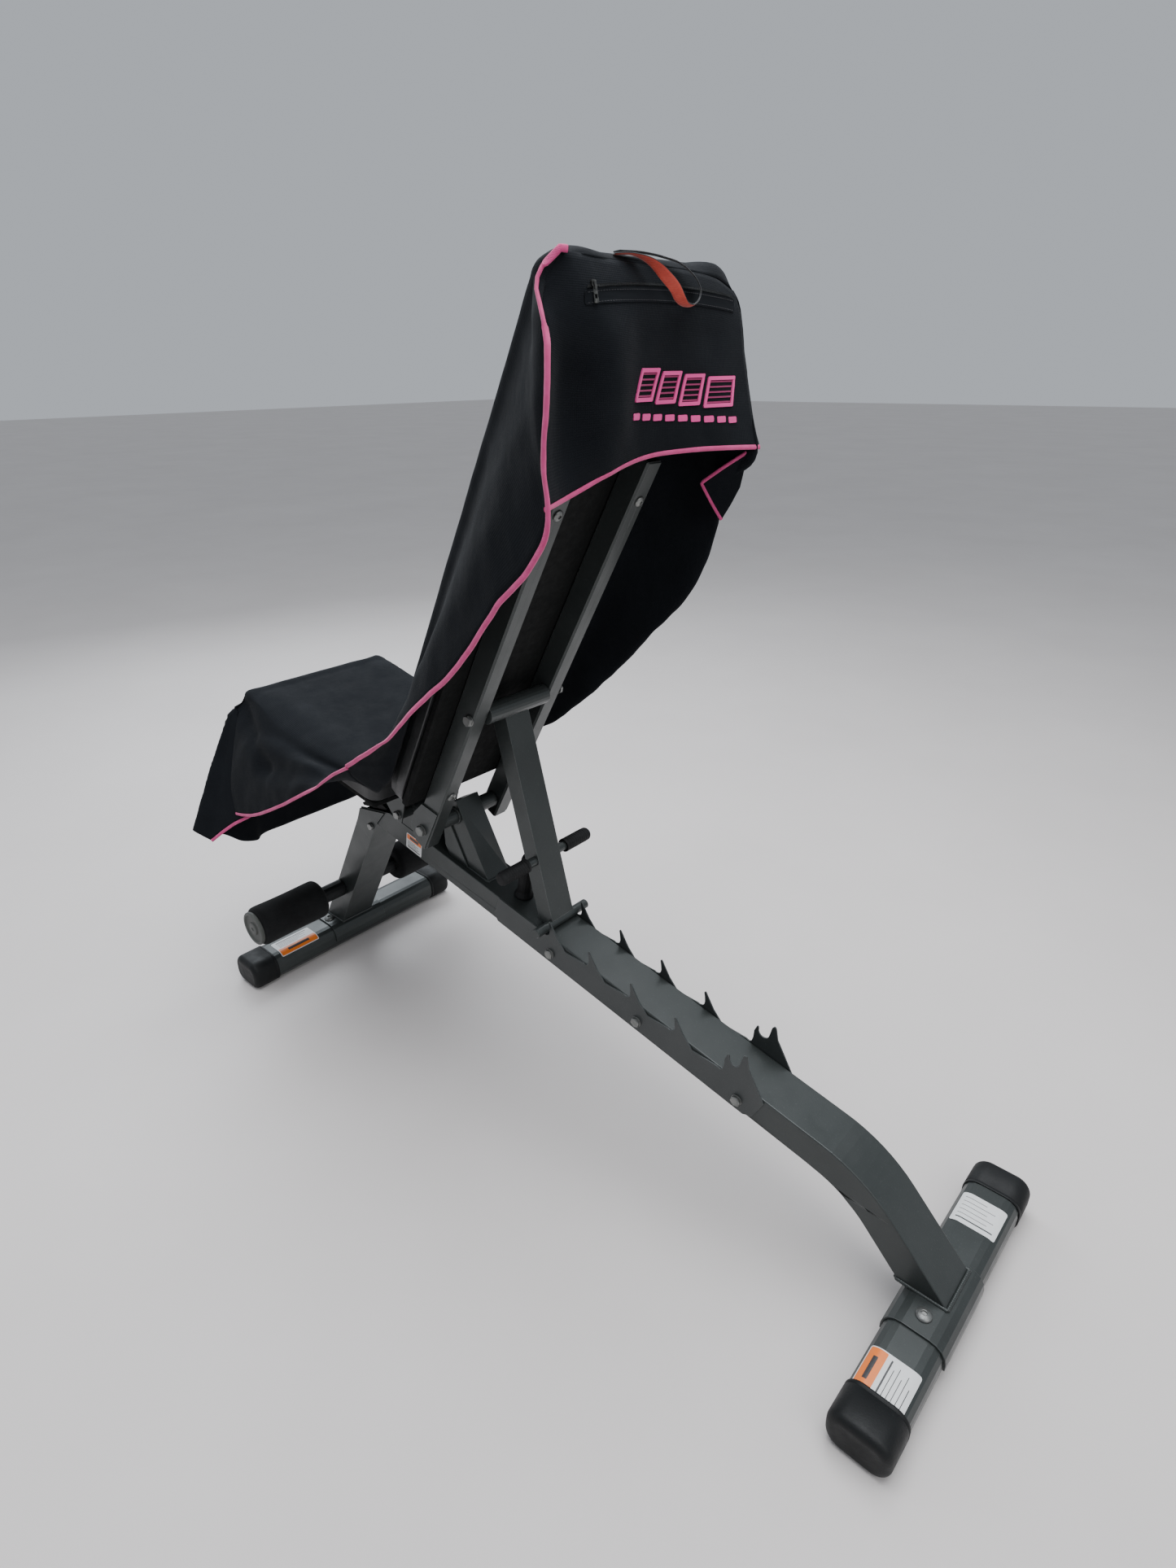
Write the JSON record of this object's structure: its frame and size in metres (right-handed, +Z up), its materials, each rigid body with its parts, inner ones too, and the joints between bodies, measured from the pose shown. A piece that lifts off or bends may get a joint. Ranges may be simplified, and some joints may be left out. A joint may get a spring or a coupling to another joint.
{
  "type": "adjustable weight bench",
  "caption": "Adjustable weight bench with a sloping steel spine, reclining back on a toothed ladder strut, tilting seat, foam ankle rollers and a draped towel cover.",
  "frame": {"origin": "on the floor, at the middle of the overall length and width", "axes": "+X from the seat end to the ladder end, -Y to the sitter's left, +Z up"},
  "size_m": [1.4926, 0.525, 1.2932],
  "materials": {
    "frame_paint": "satin dark grey powder coat",
    "ladder_paint": "satin dark grey powder coat",
    "zinc_bolt": "dull zinc plate",
    "black_plastic": "fine moulded grain",
    "black_rubber": "matt",
    "black_foam": "matt closed-cell foam",
    "grey_plastic": "matt",
    "black_vinyl": "soft sheen grained vinyl",
    "board": "black stained plywood",
    "towel_cloth": "charcoal cloth with a bright piped edge"
  },
  "bodies": {
    "frame": {"main_beam": "frame_paint", "front_leg": "frame_paint", "front_foot_tube": "frame_paint", "rear_foot_tube": "frame_paint", "front_saddle": "frame_paint", "rear_saddle": "frame_paint", "front_gusset_left": "frame_paint", "front_gusset_right": "frame_paint", "hinge_post": "frame_paint", "post_gusset_left": "frame_paint", "post_gusset_right": "frame_paint", "seat_bracket": "frame_paint", "roller_bar": "frame_paint", "ladder_plate_left": "ladder_paint", "ladder_plate_right": "ladder_paint", "front_gusset_bolt": "zinc_bolt", "ladder_bolt_front": "zinc_bolt", "ladder_bolt_middle": "zinc_bolt", "ladder_bolt_rear": "zinc_bolt", "hinge_bolt": "zinc_bolt", "seat_hinge_bolt": "zinc_bolt", "rear_saddle_bolt_left": "zinc_bolt", "front_saddle_bolt_left": "zinc_bolt", "front_saddle_bolt_right": "zinc_bolt", "rear_foot_cap_left": "black_plastic", "rear_foot_cap_right": "black_plastic", "front_foot_cap_left": "black_plastic", "front_foot_cap_right": "black_plastic", "roller_collar_left": "black_plastic", "roller_collar_right": "black_plastic", "spine_nose_cap": "black_rubber", "rest_stub": "black_rubber"},
    "backrest": {"rail_left": "frame_paint", "rail_right": "frame_paint", "back_board": "board", "back_pad": "black_vinyl", "strut_bolt": "zinc_bolt", "back_cover": "towel_cloth", "pad_bolt_lower_left": "zinc_bolt", "pad_bolt_lower_right": "zinc_bolt", "pad_bolt_upper_left": "zinc_bolt", "pad_bolt_upper_right": "zinc_bolt"},
    "strut": {"strut_sleeve": "frame_paint", "strut_tube": "frame_paint", "strut_pin": "frame_paint", "handle_bar": "frame_paint", "grip_left": "black_rubber", "grip_right": "black_rubber"},
    "seat": {"seat_pad": "black_vinyl", "seat_board": "board", "seat_frame": "frame_paint", "seat_sector": "frame_paint", "seat_cover": "towel_cloth"},
    "clamp": {"clamp_knob": "black_plastic"},
    "roller_left": {"foam_roller_left": "black_foam", "roller_cap_left": "grey_plastic"},
    "roller_right": {"foam_roller_right": "black_foam", "roller_cap_right": "grey_plastic"}
  },
  "joints": [
    {"name": "back_recline", "type": "hinge", "parent": "frame", "child": "backrest", "pos_m": [-0.232, 0, 0.468], "axis": [0, 1, 0], "range_deg": [0, 60.8]},
    {"name": "strut_swing", "type": "hinge", "parent": "backrest", "child": "strut", "pos_m": [-0.08798, 0, 0.70586], "axis": [0, 1, 0], "range_deg": [-110, 0]},
    {"name": "seat_tilt", "type": "hinge", "parent": "frame", "child": "seat", "pos_m": [-0.345, 0, 0.447], "axis": [0, 1, 0], "range_deg": [-10, 7]},
    {"name": "seat_clamp_turn", "type": "hinge", "parent": "frame", "child": "clamp", "pos_m": [-0.41485, 0.05, 0.39104], "axis": [0, 1, 0], "range_deg": [0, 180]},
    {"name": "roller_left_spin", "type": "hinge", "parent": "frame", "child": "roller_left", "pos_m": [-0.63, -0.17, 0.162], "axis": [0, 1, 0], "continuous": true},
    {"name": "roller_right_spin", "type": "hinge", "parent": "frame", "child": "roller_right", "pos_m": [-0.63, 0.17, 0.162], "axis": [0, 1, 0], "continuous": true}
  ],
  "couplings": [
    {"joint": "strut_swing", "follows": "back_recline", "ratio": -1.8}
  ]
}
